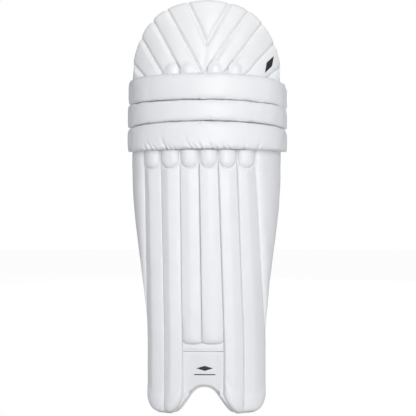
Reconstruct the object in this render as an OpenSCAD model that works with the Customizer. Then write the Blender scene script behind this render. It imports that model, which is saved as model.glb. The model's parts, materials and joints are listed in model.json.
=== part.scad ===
// Cricket batting leg pad: a C-shaped shin guard of stuffed vertical channels, three knee rolls,
// and a rounded thigh guard of V-shaped channels. It stands on its two feet. Millimetres, +Z up,
// -Y is the face that meets the ball, and the leg goes behind it.

/* [Shell] */
// Half-width of the shell's plan ellipse at the calf and knee
calf_half_w = 134; // [130:1:137]
// Half-depth of the shell's plan ellipse at the calf and knee
calf_half_d = 105; // [100:1:108]
// Half-width of the shell's plan ellipse at the instep
foot_half_w = 107; // [105:1:109]
// Half-depth of the shell's plan ellipse at the instep
foot_half_d = 65; // [62:1:68]
// Depth of the stuffed channels, from their ridges to the backing board
channel_t = 26; // [24:1:28]
// How deep the sewn creases lie below the ridges
crease_d = 8; // [6:0.5:9]
// Wall of the covers
cover_t = 1.4; // [1.2:0.1:1.6]

/* [Knee and thigh] */
// Height of the crown of the thigh guard
crown_z = 686; // [682:1:690]
// Half-width of the thigh guard where it leaves the knee rolls
thigh_half_w = 132; // [129:1:133]
// How far the knee rolls stand out from the shin
roll_out = 20; // [16:1:22]

/* [Feet] */
// Height of the arch over the instep
arch_h = 44; // [40:1:48]
// Half-width of the arch
arch_half_w = 62; // [60:1:64]

/* [Inside] */
// Diameter of the cane rods
cane_d = 8; // [6:0.5:9]
// Diameter of the two calf bolsters
bolster_d = 24; // [20:1:26]

/* [Straps] */
// Thickness of the straps
strap_t = 3.6; // [3:0.2:4]
// Width of the knee strap
knee_strap_w = 50; // [45:1:55]
// Width of the calf strap
calf_strap_w = 75; // [65:1:80]
// Width of the ankle strap
ankle_strap_w = 38; // [34:1:42]
// Radius of the rings' pivot bars
ring_bar_r = 2.4; // [2:0.1:2.6]

/* [Hidden] */
$fn = 48;
sewn_gap = 0.3;
front_y = -78.8;          // the shell's foremost line
shape_low_z = 130;        // the shell widens from here
shape_high_z = 400;       // to here
hat_spread = 12;          // the thigh guard's plan ellipse is this much wider each side
wing_end = 77;            // degrees round the plan ellipse to the wings' rear edges
taper_from = 40;          // degrees where the wall starts to thin
taper_span = 37;
taper_share = 0.5;

board_d = [channel_t + 2.4, channel_t + 5.8];
lining_d = [channel_t + 6.6, channel_t + 8];
roll_back_d = channel_t - 4.4;

instep_z = 119;           // foot of the two middle channels
nub_low_z = 409.5;        // tips of the bolster ends below the rolls
rolls_z = [441, 486.4, 521.3, 562];
// At each roll's inner and outer end: how far its middle drops, and its height
roll_ends = [[[5, 35], [6.2, 32.6]], [[4, 36], [9, 32]], [[1.5, 34.5], [10.5, 36]]];
shin_top_z = 450.5;
boards_z = [shin_top_z, 486.7, 521.6, 556.4];
hat_low_z = 562.8;        // at the middle; the outer side hangs lower
hat_drop = [4.5, 12];
nub_high_z = 586;

// Seams between the channels, across the shell from the inner to the outer wing
seam_top_x = [-109, -79.5, -45.5, -13, 19.2, 51.2, 83];
seam_low_x = [-103, -73, -41.5, -7.5, 30.5, 64, 103.5];

// Seams of the thigh guard: across at the knee roll, then across and up at the edge
hat_seams = [
  [-106, [-129.3, 590]],
  [-73.4, [-115.4, 631.5]],
  [-40.5, [-94.4, 658]],
  [-6, [-68.7, 674.5]],
  [-4.4, [74, 672]],
  [28.5, [99.1, 653.5]],
  [64, [120.3, 621.5]],
  [100, [130.3, 583]],
];
hat_apex = [0.5, 615.7];  // where the two chevron seams meet
hat_apex_tops = [[-31.5, 684], [40, 683]];

// Straps: [height of the middle, width, how far the band reaches behind its roots]
straps = [
  [405, knee_strap_w, 82],
  [272, calf_strap_w, 84],
  [98, ankle_strap_w, 68],
];
strap_root_a = 79;        // degrees round the shell
strap_root_back = 5;      // and this far behind it
strap_clear = 3.6;          // from the root's fold to the band
tail_len = 78;
ring_len = 17;
ring_gap = 4;
ring_t = 4;
tab_len = 9;

// ---------- Shell geometry ----------

function lerp(a, b, t) = a + (b - a) * t;
function clamp(t, low = 0, high = 1) = min(high, max(low, t));
function smooth(t) = let (c = clamp(t)) c * c * (3 - 2 * c);
function widening(z) = smooth((z - shape_low_z) / (shape_high_z - shape_low_z));
function half_w(z) = lerp(foot_half_w, calf_half_w, widening(z)) + hat_spread * smooth((z - 520) / 60);
function half_d(z) = lerp(foot_half_d, calf_half_d, widening(z));
function wall_share(a) = 1 - taper_share * smooth((abs(a) - taper_from) / taper_span);

// A point of the shell at angle a round its plan ellipse and height z, d below the ridges' surface
function shell(a, z, d) =
  let (w = half_w(z), t = half_d(z), nx = sin(a) / w, ny = -cos(a) / t,
       s = d * wall_share(a) / norm([nx, ny]))
  [w * sin(a) - nx * s, front_y + t * (1 - cos(a)) - ny * s, z];
// The same for the pieces at the knee, below the thigh guard's wider ellipse
function leg_shell(a, z, d) = let (p = shell(a, min(z, 520), d)) [p[0], p[1], z];
function angle_at(x, z) = asin(clamp(x / half_w(z), -0.9999, 0.9999));
function shell_x(x, z, d) = shell(angle_at(x, z), z, d);

function seam_x(i, z) =
  lerp(seam_low_x[i], seam_top_x[i], clamp((z - instep_z) / (rolls_z[0] - instep_z)));
function edge_x(z) = half_w(z) * sin(wing_end);

// The sole line: an arch over the instep, flat feet, and rounded outer corners
function sole_z(x) =
  let (u = abs(x + 4) / arch_half_w, corner = clamp((abs(x) - 83) / 19))
  (u < 1 ? arch_h * (0.5 + 0.5 * cos(180 * pow(u, 1.25))) : 0) + 12 * corner * corner;

// The thigh guard's edge: half-width at height z
crown_from = 548;
crown_power = 2.5;
function crown_half_w(z, rim = 0) =
  (thigh_half_w - rim)
  * pow(1 - pow(clamp((z - crown_from) / (crown_z - rim - crown_from)), crown_power), 1 / crown_power);
function hat_low(x) = hat_low_z - hat_drop[x < 0 ? 0 : 1] * pow(x / thigh_half_w, 2);

// A closed solid through rings of points. Seen from the end of the row, each ring runs anticlockwise.
// The ends are closed in zigzag, from the ring's first half to its second.
module loft(rings) {
  n = len(rings[0]);
  last = (len(rings) - 1) * n;
  points = [for (r = rings) each r];
  sides = [for (i = [0 : len(rings) - 2], j = [0 : n - 1])
    let (a = i * n + j, b = i * n + (j + 1) % n)
    each [[a, b + n, b], [a, a + n, b + n]]];
  zigzag = [for (j = [0 : floor(n / 2) - 1]) let (k = n - 1 - j)
    each concat(j + 1 < k ? [[j, j + 1, k]] : [], j + 1 < k - 1 ? [[j + 1, k - 1, k]] : [])];
  ends = [for (f = zigzag) each [f, [last + f[0], last + f[2], last + f[1]]]];
  polyhedron(points, concat(sides, ends), convexity = 6);
}

// ---------- Stuffed channels ----------

profile_u = [0, 0.1, 0.28, 0.5, 0.72, 0.9, 1];
function bulge(u) = pow(1 - pow(abs(2 * u - 1), 2.6), 0.6);

// One ring across a channel from a to b, both [x, z]; full is how far it is stuffed
function channel_ring(a, b, full, top_d, back_d, inset) =
  let (w = max(norm(b - a), 0.01), u0 = min(inset / w, 0.45))
  concat(
    [for (u = profile_u) let (p = lerp(a, b, lerp(u0, 1 - u0, u)))
      shell_x(p[0], p[1], top_d + inset + crease_d * (1 - bulge(u) * full))],
    [for (u = [1, 0.75, 0.5, 0.25, 0]) let (p = lerp(a, b, lerp(u0, 1 - u0, u)))
      shell_x(p[0], p[1], back_d - inset)]);

shin_levels = [0.07, 0.17, 0.28, 0.4, 0.52, 0.64, 0.76, 0.88];
// [share of the way up, stuffing, depth of the ridge]: rounded foot, even length, ledge under the nub
function channel_stations(top_z, low_z) =
  let (ledge = (nub_low_z - 3 - low_z) / (top_z - low_z))
  concat([[0, 0, 2], [0.02, 0.6, 0], [0.05, 1, 0]],
         [for (t = shin_levels) [lerp(0.05, ledge, t), 1, 0]],
         [[ledge, 1, 0], [ledge + 0.006, 0, 0.4], [1, 0, 0.4]]);

function channel_low(i, x) = (i == 2 || i == 3) ? instep_z : sole_z(x) + 3;

function shin_channel_rings(i, inset) =
  let (top_z = rolls_z[0] - 0.6)
  [for (s = channel_stations(top_z, (channel_low(i, seam_low_x[i]) + channel_low(i, seam_low_x[i + 1])) / 2))
    let (low_a = channel_low(i, seam_low_x[i]) + inset, low_b = channel_low(i, seam_low_x[i + 1]) + inset,
         za = lerp(low_a, top_z - inset, s[0]), zb = lerp(low_b, top_z - inset, s[0]))
    channel_ring([seam_x(i, za) + sewn_gap, za], [seam_x(i + 1, zb) - sewn_gap, zb],
                 s[1], s[2], channel_t, inset)];

module shin_channel_cover(i)
  color("white") difference() {
    loft(shin_channel_rings(i, 0));
    loft(shin_channel_rings(i, cover_t));
  }

cane_low_z = 56;
cane_high_z = 400;
function cane_end(i, z) =
  shell_x((seam_x(i, z) + seam_x(i + 1, z)) / 2, z, channel_t / 2);
function cane_from(i) = (i == 2 || i == 3) ? instep_z + 12 : cane_low_z;

module cane(i, r) {
  low = cane_end(i, cane_from(i));
  run = cane_end(i, cane_high_z) - low;
  translate(low)
    rotate([0, acos(run[2] / norm(run)), atan2(run[1], run[0])])
      cylinder(h = norm(run), r = r);
}

module shin_channel_foam()
  color("ivory") for (i = [0 : 5])
    difference() {
      loft(shin_channel_rings(i, cover_t + 0.2));
      cane(i, cane_d / 2 + 0.1);
    }

module cane_rods()
  color("burlywood") for (i = [0 : 5]) cane(i, cane_d / 2);

// ---------- Wings ----------

wing_low_z = 140;
wing_stations = concat([[0, 0.2], [0.05, 0.7]],
                       [for (t = [0.13, 0.26, 0.39, 0.52, 0.65, 0.78, 0.9]) [t, 1]], [[1, 0.9]]);
// side is -1 for the inner wing and 1 for the outer
function wing_rings(side, inset) =
  [for (s = wing_stations)
    let (z = lerp(wing_low_z + inset, rolls_z[0] - 0.6 - inset, s[0]),
         seam = [seam_x(side < 0 ? 0 : 6, z) + side * sewn_gap, z], edge = [side * edge_x(z), z])
    side < 0 ? channel_ring(edge, seam, s[1], 1, channel_t - 1.8, inset)
             : channel_ring(seam, edge, s[1], 1, channel_t - 1.8, inset)];

module wing_cover(side)
  color("white") difference() {
    loft(wing_rings(side, 0));
    loft(wing_rings(side, cover_t));
  }

module wing_foam()
  color("ivory") for (side = [-1, 1]) loft(wing_rings(side, cover_t + 0.2));

// ---------- Sheets that follow the shell ----------

sheet_columns = 24;
sheet_levels = [0, 0.07, 0.15, 0.24, 0.33, 0.42, 0.51, 0.6, 0.69, 0.78, 0.88, 1];
function across(u) = sin(wing_end * (2 * u - 1)) / sin(wing_end);
// A sheet between depths d, from the sole line up, bounded by the wings' edges
function shin_sheet_rings(d, top_z, lift) =
  [for (k = [0 : sheet_columns])
    let (share = across(k / sheet_columns), low = sole_z(share * edge_x(0)) + lift,
         zs = [for (t = sheet_levels) lerp(low, top_z, t)])
    concat([for (z = zs) shell_x(share * edge_x(z), z, d[1])],
           [for (j = [len(zs) - 1 : -1 : 0]) shell_x(share * edge_x(zs[j]), zs[j], d[0])])];

module shin_backing_board() color("gainsboro") loft(shin_sheet_rings(board_d, shin_top_z - 0.3, 9.5));
module shin_lining() color("whitesmoke") loft(shin_sheet_rings(lining_d, shin_top_z - 0.3, 9.5));

// A band of constant height across the shell between angles
function band_rings(a0, a1, d, low_z, high_z, steps, levels = 1) =
  [for (k = [0 : steps]) let (a = lerp(a0, a1, k / steps))
    concat([for (j = [0 : levels]) leg_shell(a, lerp(low_z, high_z, j / levels), d[1])],
           [for (j = [levels : -1 : 0]) leg_shell(a, lerp(low_z, high_z, j / levels), d[0])])];

// ---------- Instep ----------

function instep_ring_x(u) = lerp(seam_low_x[2] + 1.2, seam_low_x[4] - 1.2, u);
function instep_rings(low, high, d) =
  [for (k = [0 : 10]) let (x = instep_ring_x(k / 10), z0 = max(low, sole_z(x) + 4), zm = (z0 + high) / 2)
    [shell_x(x, z0, d[0] + 3), shell_x(x, z0, d[1]), shell_x(x, high, d[1]),
     shell_x(x, high, d[0]), shell_x(x, zm, d[0])]];

module instep_panel() color("white") loft(instep_rings(0, 105.5, [14, channel_t]));
module instep_band() color("white") loft(instep_rings(106, instep_z - 0.6, [11, channel_t]));

// ---------- Bindings ----------

// A tube of radius r, with n sides, along a row of points
function tube_rings(path, r, n = 8) =
  [for (k = [0 : len(path) - 1])
    let (before = path[max(k - 1, 0)], after = path[min(k + 1, len(path) - 1)],
         t = (after - before) / norm(after - before),
         side = cross(t, [0, 0, 1]), flat = norm(side) < 0.05 ? [0, 1, 0] : side / norm(side),
         up = cross(flat, t))
    [for (j = [0 : n - 1]) path[k] + r * (cos(360 * j / n) * flat + sin(360 * j / n) * up)]];

binding_r = 3.2;
module foot_binding()
  color("white") difference() {
    loft(tube_rings([for (k = [0 : 44]) let (x = lerp(-102, 102, k / 44))
      shell_x(x, sole_z(x) + 2.6, channel_t + (binding_r + 0.7) / wall_share(angle_at(x, 0)))], binding_r));
    translate([0, 0, -50]) cube([300, 300, 100], center = true);
  }

module wing_bindings()
  color("white") for (side = [-1, 1])
    loft(tube_rings([for (k = [0 : 14]) let (z = lerp(34, 439, k / 14))
      shell(side * (wing_end + 178 / half_d(z)), z, channel_t + 4)], 2.1));

// ---------- Calf bolsters ----------

module calf_bolster(x)
  color("whitesmoke") {
    r = bolster_d / 2;
    ends = [for (z = [150, 375]) shell_x(x, z, lining_d[1] + r + 1)];
    place = [ends[1][0], max(ends[0][1], ends[1][1])];
    translate([place[0], place[1], 150]) cylinder(h = 225, r = r);
    for (z = [150, 375]) translate([place[0], place[1], z]) sphere(r = r);
  }

// ---------- Knee bolster ends ----------

// A half-dome pillow: tip at tip_z, open end at end_z
function nub_rings(x, tip_z, end_z, d, w) =
  let (run = end_z - tip_z, up = run > 0,
       stations = [[0, 0.12], [0.1, 0.5], [0.25, 0.78], [0.45, 0.95], [0.7, 1], [1, 0.92]],
       rings = [for (s = stations) let (z = tip_z + run * s[0])
         concat([for (u = [-1, -0.6, 0, 0.6, 1]) shell_x(x + u * w * s[1], z,
                   lerp(d[1], d[0], s[1] * sqrt(1 - 0.8 * u * u)))],
                [for (u = [1, -1]) shell_x(x + u * w * s[1], z, d[1])])])
  up ? rings : [for (k = [len(rings) - 1 : -1 : 0]) rings[k]];

module knee_bolster_ends_lower()
  color("white") for (i = [0 : 5])
    loft(nub_rings((seam_x(i, 425) + seam_x(i + 1, 425)) / 2, nub_low_z, rolls_z[0] - 0.6, [-6, 6.6], 13));

nub_high_x = [-59, -31, 15, 49];
module knee_bolster_ends_upper()
  color("white") for (x = nub_high_x)
    loft(nub_rings(x, nub_high_z, hat_low(x) + 0.2, [-2.4, 3], 12));

// ---------- Knee rolls ----------

roll_end_out = 7;
roll_angles = [for (k = [-9 : 9]) 74 * sin(k * 10)];
// Section of a roll at an angle: fullness falls off at the ends, which droop a little
function roll_rings(k, inset) =
  [for (a = roll_angles)
    let (s = abs(a) / 74, full = sqrt(1 - pow(s, 36) * 0.93), end = roll_ends[k][a < 0 ? 0 : 1],
         height = rolls_z[k + 1] - 0.6 - rolls_z[k],
         rz = max(lerp(height, end[1], s * s) / 2 * full - inset, 0.3),
         out = roll_out + roll_end_out * s * s,
         rd = max((out + roll_back_d) / 2 * full - inset / wall_share(a), 0.3),
         zc = rolls_z[k] + height / 2 - end[0] * s * s, dc = (roll_back_d - out) / 2)
    [for (j = [0 : 13]) let (c = cos(360 * j / 14), v = sin(360 * j / 14))
      leg_shell(a, zc + rz * sign(v) * pow(abs(v), 0.75), dc + rd * sign(c) * pow(abs(c), 0.75))]];

module knee_roll_cover(k)
  color("white") difference() {
    loft(roll_rings(k, 0));
    loft(roll_rings(k, cover_t));
  }

module knee_roll_foam(k)
  color("ivory") loft(roll_rings(k, cover_t + 0.2));

module knee_backing(k)
  color("gainsboro")
    loft(band_rings(-wing_end + 1, wing_end - 1, [roll_back_d + 0.8, lining_d[1]],
                    boards_z[k], boards_z[k + 1] - 0.5, 20));

// The padded cup behind the knee: one horizontal sausage on each segment
function cup_rings(low_z, high_z) =
  [for (k = [-7 : 7])
    let (a = 46 * sin(k * 90 / 7), s = abs(k) / 7, full = sqrt(1 - pow(s, 6) * 0.8),
         rz = (high_z - low_z) / 2 * full, rd = 7.5 * full, dc = lining_d[1] + 8)
    [for (j = [0 : 9]) leg_shell(a, (low_z + high_z) / 2 + rz * sin(36 * j), dc + rd * cos(36 * j))]];

module knee_cup(k)
  color("whitesmoke") loft(cup_rings(boards_z[k] + 2, boards_z[k + 1] - 2.5));

// ---------- Thigh guard ----------

hat_top_d = 4;
hat_back_d = 21.4;
hat_board_d = [22.8, 27];
hat_lining_d = [27.8, 29.6];
hat_rim = 7;
hat_stations = [[0, 0.75], [0.12, 1], [0.35, 1], [0.6, 1], [0.85, 1], [0.96, 0.75], [1, 0.2]];

// A point on a seam, at share t from the knee roll to the edge. The line may have several points.
function along(line, t) =
  let (n = len(line) - 1, k = min(floor(t * n), n - 1)) lerp(line[k], line[k + 1], t * n - k);

function hat_cell_rings(a, b, inset) =
  [for (s = hat_stations)
    let (len_a = norm(a[len(a) - 1] - a[0]), t = lerp(inset / len_a, 1 - 1.5 * inset / len_a, s[0]),
         p = along(a, t), q = along(b, t), gap = sewn_gap * (q - p) / max(norm(q - p), 0.01))
    channel_ring(p + gap, q - gap, s[1], hat_top_d, hat_back_d, inset)];

function low_end(x) = [x, hat_low(x) + 0.7];
function hat_seam(i) = [low_end(hat_seams[i][0]), hat_seams[i][1]];
function side_line(side) =
  [low_end(side * (thigh_half_w + 0.4)),
   let (z = hat_seams[side < 0 ? 0 : 7][1][1]) [side * (crown_half_w(z) + 0.2), z]];
function chevron_line(side) = [low_end(-5.2), hat_apex, hat_apex_tops[side]];

// The two seams that bound each cell, inner side first. The chevron has two legs.
hat_cells = [
  [side_line(-1), hat_seam(0)],
  [hat_seam(0), hat_seam(1)],
  [hat_seam(1), hat_seam(2)],
  [hat_seam(2), hat_seam(3)],
  [hat_seam(3), chevron_line(0)],
  [chevron_line(1), hat_seam(4)],
  [[hat_apex + [-1.2, 1.8], hat_apex_tops[0]], [hat_apex + [1.2, 1.8], hat_apex_tops[1]]],
  [hat_seam(4), hat_seam(5)],
  [hat_seam(5), hat_seam(6)],
  [hat_seam(6), hat_seam(7)],
  [hat_seam(7), side_line(1)],
];

module hat_cell_cover(k)
  color("white") difference() {
    loft(hat_cell_rings(hat_cells[k][0], hat_cells[k][1], 0));
    loft(hat_cell_rings(hat_cells[k][0], hat_cells[k][1], cover_t));
  }

module hat_foam()
  color("ivory") for (c = hat_cells) loft(hat_cell_rings(c[0], c[1], cover_t + 0.2));

hat_levels = [556.8, 575, 595, 612, 628, 642, 654, 663, 670.5, 676];
function hat_sheet_rings(d, rim) =
  [for (z = hat_levels) let (w = crown_half_w(z, rim))
    concat([for (k = [-7 : 7]) shell_x(w * k / 7, z, d[0])],
           [for (k = [7 : -1 : -7]) shell_x(w * k / 7, z, d[1])])];

module hat_backing_board() color("gainsboro") loft(hat_sheet_rings(hat_board_d, hat_rim));
module hat_lining() color("whitesmoke") loft(hat_sheet_rings(hat_lining_d, hat_rim));

hat_binding_r = 2.6;
module hat_binding()
  color("white") {
    half = thigh_half_w - hat_binding_r;
    up = crown_z - hat_binding_r - crown_from;
    power = 2 / crown_power;
    arc = [for (k = [-20 : 20]) let (a = abs(k) * 4.2)
      [sign(k) * half * pow(sin(a), power), crown_from + up * pow(cos(a), power)]];
    loft(tube_rings([for (p = arc) if (p[1] > 562)
      shell_x(p[0], p[1], hat_back_d + (hat_binding_r + 0.7) / wall_share(angle_at(p[0], p[1])))],
      hat_binding_r));
  }

// ---------- Straps and rings ----------

// Root of strap k on the inner wing: [x, y]. The strap is an arc from it, mirrored at the outer wing.
function root_of(k) =
  let (p = shell(-strap_root_a, straps[k][0], lining_d[1] + 1.2)) [p[0], p[1] + strap_root_back];
function strap_r(k) = let (x = root_of(k)[0], s = straps[k][2]) (x * x + s * s) / (2 * s);
function strap_cy(k) = root_of(k)[1] + straps[k][2] - strap_r(k);
function half_arc(k) = asin(-root_of(k)[0] / strap_r(k));
function deg(k, run) = run / strap_r(k) * 180 / PI;
// Where the ring's pivot bar and the strap's folded end are, in degrees along the arc from its middle
function bar_angle(k) = half_arc(k) - deg(k, tab_len);
function fold_angle(k) = bar_angle(k) - deg(k, ring_len + ring_gap);

// A curved band on the strap's arc between angles, r outside the band's middle line
module arc_band(k, from, to, r, t, w)
  translate([0, strap_cy(k), straps[k][0] - w / 2])
    rotate([0, 0, 90 - to])
      rotate_extrude(angle = to - from, $fn = 120)
        translate([strap_r(k) + r - t / 2, 0]) square([t, w]);

module strap(k)
  color("white") arc_band(k, -half_arc(k) + deg(k, strap_clear), fold_angle(k), 0, strap_t, straps[k][1]);

module strap_tail(k)
  color("white") arc_band(k, fold_angle(k) - deg(k, tail_len), fold_angle(k) - deg(k, 1), strap_t + 0.5,
                          2.6, straps[k][1] - 4);

// Plastic loop that turns on its pivot bar. The strap goes through its open end.
module ring_frame(k) {
  w = straps[k][1] + 9;
  inner_w = straps[k][1] + 2;
  a = bar_angle(k);
  bar = 3.4;
  color("whitesmoke")
    translate([strap_r(k) * sin(a), strap_cy(k) + strap_r(k) * cos(a), straps[k][0]])
      rotate([0, 0, -a]) {
        cylinder(h = inner_w + 1, r = ring_bar_r, center = true);
        translate([-ring_len, -ring_t / 2, -w / 2]) cube([bar, ring_t, w]);
        for (z = [-w / 2, w / 2 - bar])
          translate([-ring_len, -ring_t / 2, z]) cube([ring_len + 2, ring_t, bar]);
      }
}

// Webbing eye round each pivot bar, with its tongue sewn to the lining
module ring_tabs()
  color("white") for (k = [0 : 2]) {
    a = bar_angle(k);
    w = straps[k][1] - 4;
    eye_r = ring_bar_r + 2;
    translate([strap_r(k) * sin(a), strap_cy(k) + strap_r(k) * cos(a), straps[k][0]])
      rotate([0, 0, -a]) difference() {
        union() {
          cylinder(h = w, r = eye_r, center = true);
          translate([0, -1.2, -w / 2]) cube([tab_len + 2.5, 2.4, w]);
        }
        cylinder(h = w + 2, r = ring_bar_r + 0.3, center = true);
      }
  }

// Patches that hold the straps' roots and the rings' tabs to the lining
module strap_anchors()
  color("white") for (k = [0 : 2], a = [-74, 58]) {
    w = straps[k][1] + 6;
    loft(band_rings(a, a + 16, [lining_d[1] + 1.4, lining_d[1] + 4.4],
                    straps[k][0] - w / 2, straps[k][0] + w / 2, 5, 4));
  }

// ---------- Nodes ----------

shin_channel_cover(0);  // shin_channel_cover_1
shin_channel_cover(1);  // shin_channel_cover_2
shin_channel_cover(2);  // shin_channel_cover_3
shin_channel_cover(3);  // shin_channel_cover_4
shin_channel_cover(4);  // shin_channel_cover_5
shin_channel_cover(5);  // shin_channel_cover_6
shin_channel_foam();
cane_rods();
wing_cover(-1);  // wing_inner_cover
wing_cover(1);  // wing_outer_cover
wing_foam();
instep_panel();
instep_band();
shin_backing_board();
shin_lining();
foot_binding();
wing_bindings();
calf_bolster(-50);  // calf_bolster_inner
calf_bolster(50);  // calf_bolster_outer
knee_bolster_ends_lower();
strap_anchors();
ring_tabs();
knee_roll_cover(0);  // knee_roll_lower_cover
knee_roll_foam(0);  // knee_roll_lower_foam
knee_backing(0);  // knee_backing_lower
knee_cup(0);  // knee_cup_lower
knee_roll_cover(1);  // knee_roll_middle_cover
knee_roll_foam(1);  // knee_roll_middle_foam
knee_backing(1);  // knee_backing_middle
knee_cup(1);  // knee_cup_middle
knee_roll_cover(2);  // knee_roll_upper_cover
knee_roll_foam(2);  // knee_roll_upper_foam
knee_backing(2);  // knee_backing_upper
knee_cup(2);  // knee_cup_upper
knee_bolster_ends_upper();
hat_cell_cover(0);  // hat_channel_inner_1
hat_cell_cover(1);  // hat_channel_inner_2
hat_cell_cover(2);  // hat_channel_inner_3
hat_cell_cover(3);  // hat_channel_inner_4
union() { hat_cell_cover(4); hat_cell_cover(5); }  // hat_chevron_cover
hat_cell_cover(6);  // hat_wedge_cover
hat_cell_cover(7);  // hat_channel_outer_1
hat_cell_cover(8);  // hat_channel_outer_2
hat_cell_cover(9);  // hat_channel_outer_3
hat_cell_cover(10);  // hat_channel_outer_4
hat_foam();
hat_backing_board();
hat_lining();
hat_binding();
strap(0);  // knee_strap
strap(1);  // calf_strap
strap(2);  // ankle_strap
strap_tail(0);  // knee_strap_tail
strap_tail(1);  // calf_strap_tail
strap_tail(2);  // ankle_strap_tail
ring_frame(0);  // knee_ring
ring_frame(1);  // calf_ring
ring_frame(2);  // ankle_ring
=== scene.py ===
"""A cricket batting leg pad in white synthetic leather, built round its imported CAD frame."""

import json

import bmesh
import bpy
import numpy as np
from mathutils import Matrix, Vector
from mathutils.bvhtree import BVHTree

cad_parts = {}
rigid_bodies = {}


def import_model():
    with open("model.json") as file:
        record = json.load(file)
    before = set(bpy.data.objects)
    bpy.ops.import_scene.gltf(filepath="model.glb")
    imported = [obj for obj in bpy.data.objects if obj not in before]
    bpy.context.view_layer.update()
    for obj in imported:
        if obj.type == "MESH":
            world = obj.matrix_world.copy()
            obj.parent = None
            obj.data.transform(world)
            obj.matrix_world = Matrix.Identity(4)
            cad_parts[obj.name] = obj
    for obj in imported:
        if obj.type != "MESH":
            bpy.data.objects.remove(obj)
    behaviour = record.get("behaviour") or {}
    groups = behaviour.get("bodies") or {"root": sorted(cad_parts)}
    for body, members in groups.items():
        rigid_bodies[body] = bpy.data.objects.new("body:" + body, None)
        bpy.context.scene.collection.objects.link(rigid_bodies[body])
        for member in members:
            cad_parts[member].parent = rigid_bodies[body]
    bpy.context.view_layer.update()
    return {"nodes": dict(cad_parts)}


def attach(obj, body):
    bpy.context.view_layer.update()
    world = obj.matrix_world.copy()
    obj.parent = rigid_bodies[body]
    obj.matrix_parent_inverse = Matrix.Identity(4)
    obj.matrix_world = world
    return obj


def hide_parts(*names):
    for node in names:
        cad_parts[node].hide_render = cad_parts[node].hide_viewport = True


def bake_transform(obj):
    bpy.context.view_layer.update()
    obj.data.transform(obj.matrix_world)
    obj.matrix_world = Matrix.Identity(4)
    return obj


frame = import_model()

SCENE = bpy.context.scene
MM = 0.001

# ---------- The pad's shape, in millimetres and degrees, as the CAD source has it ----------

FRONT_Y = -78.8
CHANNEL_T = 26
BAND_Z, INSTEP_Z = 106, 119
NUB_LOW_Z = 409.5
ROLLS_Z = [441, 486.4, 521.3, 562]
# For each roll's inner and outer end: how far it drops, and how tall it is there
ROLL_ENDS = [[[5, 35], [6.2, 32.6]], [[4, 36], [9, 32]], [[1.5, 34.5], [10.5, 36]]]
ROLL_BACK_D, ROLL_OUT = 21.6, 20
SHIN_TOP_Z = 450.5
BOARDS_Z = [SHIN_TOP_Z, 486.7, 521.6, 556.4]
LINING_D = [32.6, 34]
HAT_LOW_Z = 562.8
HAT_DROP = [4.5, 12]
THIGH_W = 132
# Degrees round the shell: the rear edge of the wings, the ends of the rolls, and the straps' roots
WING_END, ROLL_END, STRAP_ROOT = 77, 74, 79
LEVELS = ["lower", "middle", "upper"]
SEAM_TOP_X = np.array([-109, -79.5, -45.5, -13, 19.2, 51.2, 83])
SEAM_LOW_X = np.array([-103, -73, -41.5, -7.5, 30.5, 64, 103.5])
# For each strap: its height, its width, and how far it stands off behind its root
STRAPS = [[405, 50, 82], [272, 75, 84], [98, 38, 68]]


def lerp(a, b, t):
    return a + (b - a) * t


def smooth(t):
    """0 below 0, 1 above 1, and an S between."""
    c = np.clip(t, 0, 1)
    return c * c * (3 - 2 * c)


def widening(z):
    """How far the leg has widened at height z, from 0 at the foot to 1 at the knee."""
    return smooth((np.asarray(z, float) - 130) / 270)


def half_w(z):
    """Half the width of the plan ellipse, with the thigh guard's spread on top."""
    return lerp(107, 134, widening(z)) + 12 * smooth((np.asarray(z, float) - 520) / 60)


def half_d(z):
    return lerp(65, 105, widening(z))


def wall_share(a):
    """How thick the pad is at angle a, as a share of its thickness in front."""
    return 1 - 0.5 * smooth((np.abs(a) - 40) / 37)


def shell(a, z, d):
    """Points at angle a round the plan ellipse and height z, d below the ridges' surface."""
    a, z, d = np.broadcast_arrays(*(np.asarray(v, float) for v in (a, z, d)))
    r, w, t = np.radians(a), half_w(z), half_d(z)
    nx, ny = np.sin(r) / w, -np.cos(r) / t
    s = d * wall_share(a) / np.hypot(nx, ny)
    return np.stack([w * np.sin(r) - nx * s, FRONT_Y + t * (1 - np.cos(r)) - ny * s, z], -1)


def leg_shell(a, z, d):
    """The same for the pieces at the knee, below the thigh guard's wider ellipse."""
    p = shell(a, np.minimum(z, 520), d)
    p[..., 2] = z
    return p


def angle_at(x, z):
    return np.degrees(np.arcsin(np.clip(x / half_w(z), -0.9999, 0.9999)))


def on_shell(x, z, d):
    return shell(angle_at(x, z), z, d)


def seam_x(i, z):
    return lerp(SEAM_LOW_X[i], SEAM_TOP_X[i], np.clip((z - INSTEP_Z) / (ROLLS_Z[0] - INSTEP_Z), 0, 1))


def edge_x(z):
    return half_w(z) * np.sin(np.radians(WING_END))


def sole_z(x):
    """The pad's lower edge: two feet with round outer corners, and the arch between them."""
    u = np.abs(x + 4) / 62
    corner = np.clip((np.abs(x) - 83) / 19, 0, 1)
    arch = 44 * (0.5 + 0.5 * np.cos(np.pi * np.clip(u, 0, 1) ** 1.25))
    return np.where(u < 1, arch, 0) + 12 * corner ** 2


def hat_low(x):
    x = np.asarray(x, float)
    return HAT_LOW_Z - np.where(x < 0, HAT_DROP[0], HAT_DROP[1]) * (x / THIGH_W) ** 2


# ---------- Small tools ----------

def plunge(s, r):
    """0 on a seam, 1 from r away: the round shoulder of stuffed cloth."""
    return np.sqrt(np.clip(1 - (1 - np.clip(s / r, 0, 1)) ** 2, 0, 1))


def ripple(p, scale, seed):
    """Soft unevenness between -1 and 1."""
    rng = np.random.default_rng(seed)
    out = np.zeros(p.shape[:-1])
    for k in range(7):
        way = rng.normal(size=3)
        way *= rng.uniform(0.6, 1.7) / np.linalg.norm(way) / scale * 2 * np.pi
        out += np.sin(p @ way + rng.uniform(0, 6.28))
    return out / 3.2


def upright(x, z):
    """Places on a flat sheet that stands upright."""
    return np.stack(np.broadcast_arrays(x, 0.0, z), -1)


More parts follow.
